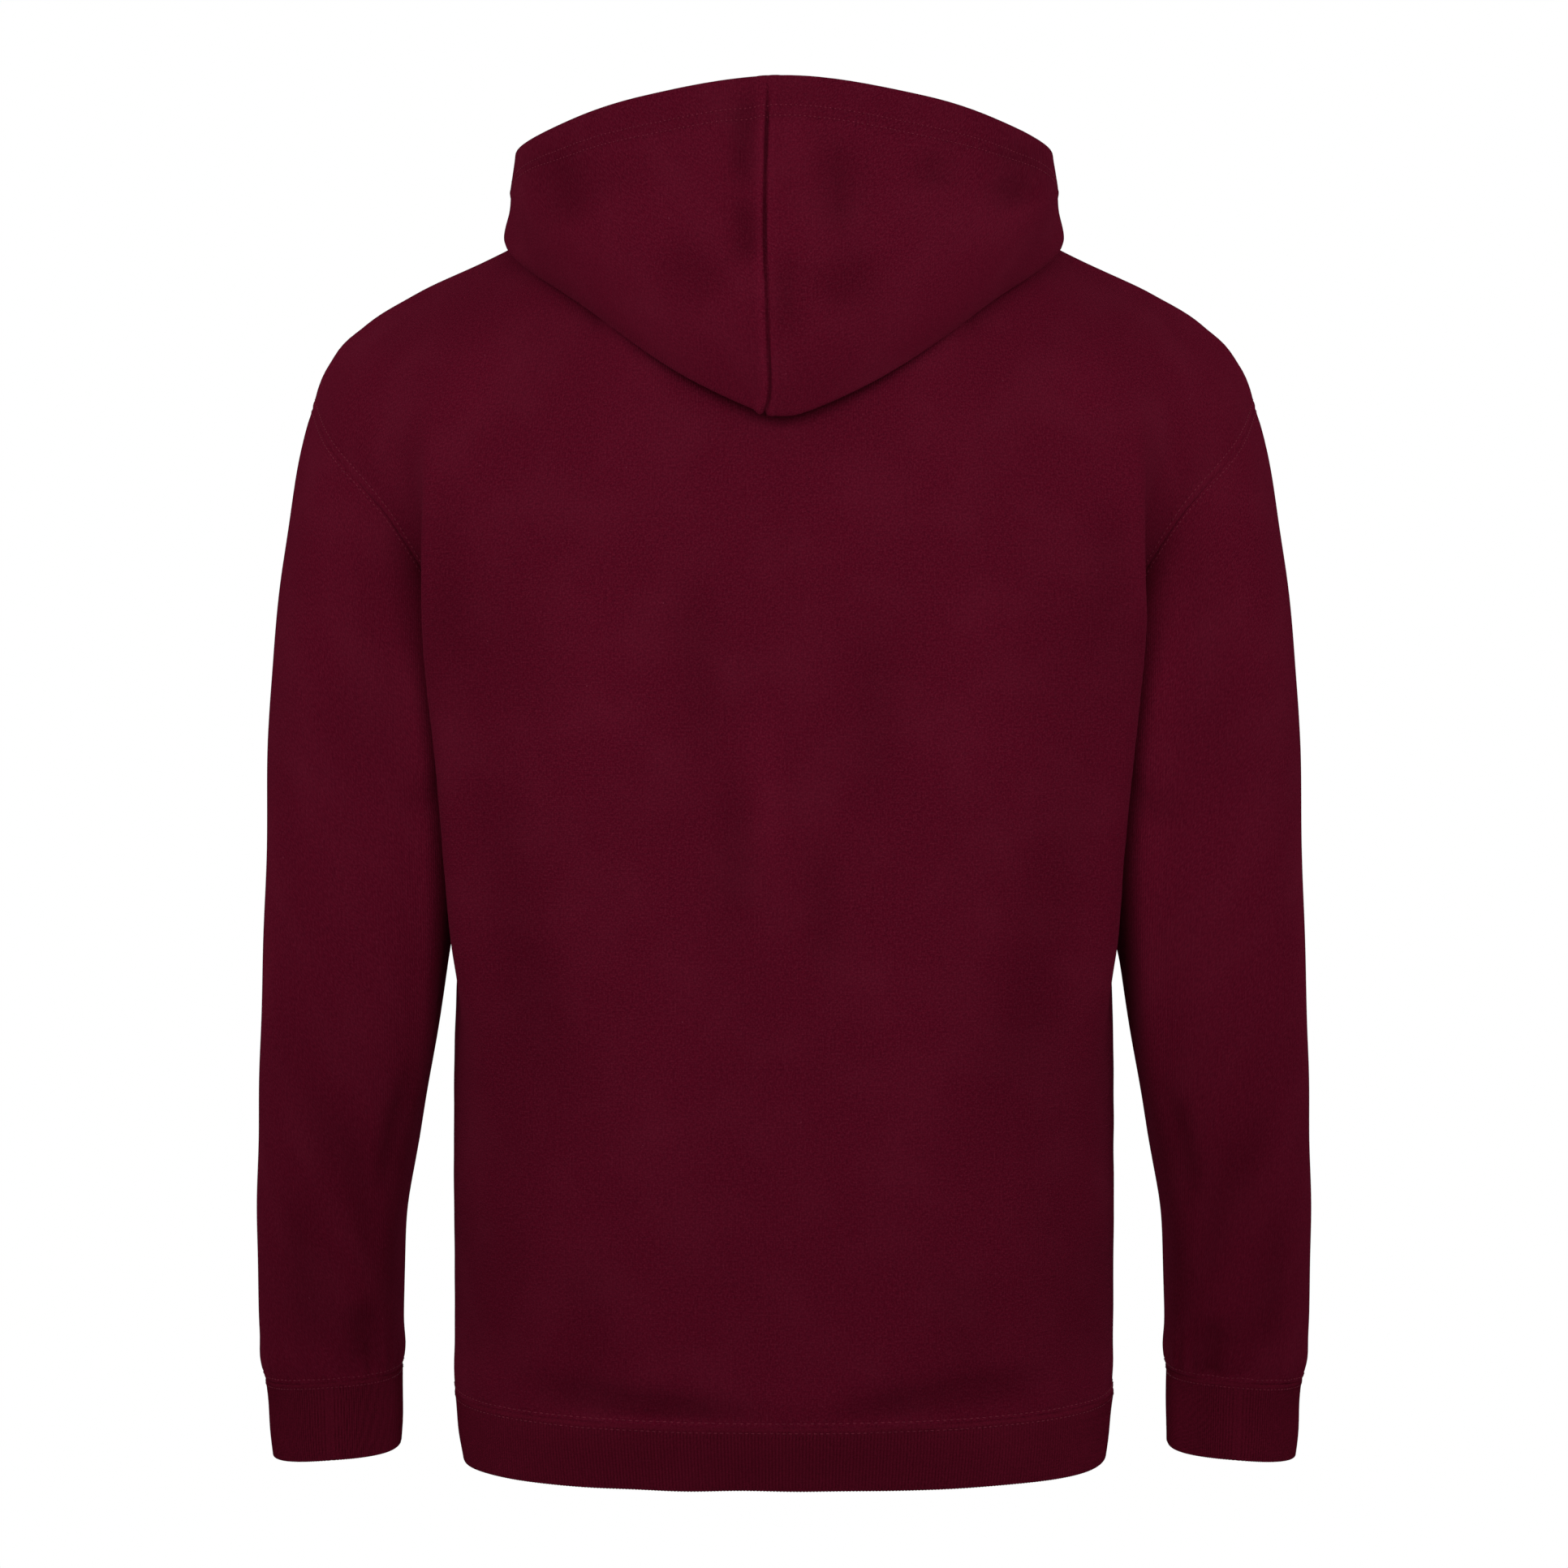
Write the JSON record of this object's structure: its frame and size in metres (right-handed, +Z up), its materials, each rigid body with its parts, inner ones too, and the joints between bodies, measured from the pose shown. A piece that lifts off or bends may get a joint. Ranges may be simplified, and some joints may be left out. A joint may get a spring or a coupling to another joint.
{
  "type": "zip up hoodie",
  "caption": "Hooded fleece sweater with long sleeves, ribbed cuffs and hem, and a zip up the front, hollow and filled out as when worn, hood lying back.",
  "frame": {"origin": "middle of the neck opening, level with the tops of the shoulders, where the wearer's neck and shoulders hold the garment", "axes": "+Z up, the front faces -Y, the back and the hood are towards +Y, the wearer's left is +X"},
  "size_m": [0.6128, 0.2981, 0.7904],
  "materials": {
    "fleece": "brushed sweatshirt fleece, burgundy, matt with a light fuzz",
    "ribbing": "rib knit, the same burgundy, matt",
    "zip_tape": "woven tape, burgundy, matt",
    "zip_metal": "nickel plated zinc, satin"
  },
  "bodies": {
    "garment": {"back": "fleece", "front_left": "fleece", "front_right": "fleece", "sleeve_left": "fleece", "sleeve_right": "fleece", "hood_left": "fleece", "hood_right": "fleece", "hem_rib": "ribbing", "cuff_left": "ribbing", "cuff_right": "ribbing", "zip_tape_left": "zip_tape", "zip_tape_right": "zip_tape", "zip_chain": "zip_metal", "zip_slider": "zip_metal", "zip_box": "zip_metal"},
    "pull": {"zip_pull": "zip_metal"}
  },
  "joints": [
    {"name": "pull_hinge", "type": "hinge", "parent": "garment", "child": "pull", "pos_m": [0, -0.09821, -0.09869], "axis": [-1, 0, 0], "range_deg": [0, 140]}
  ]
}
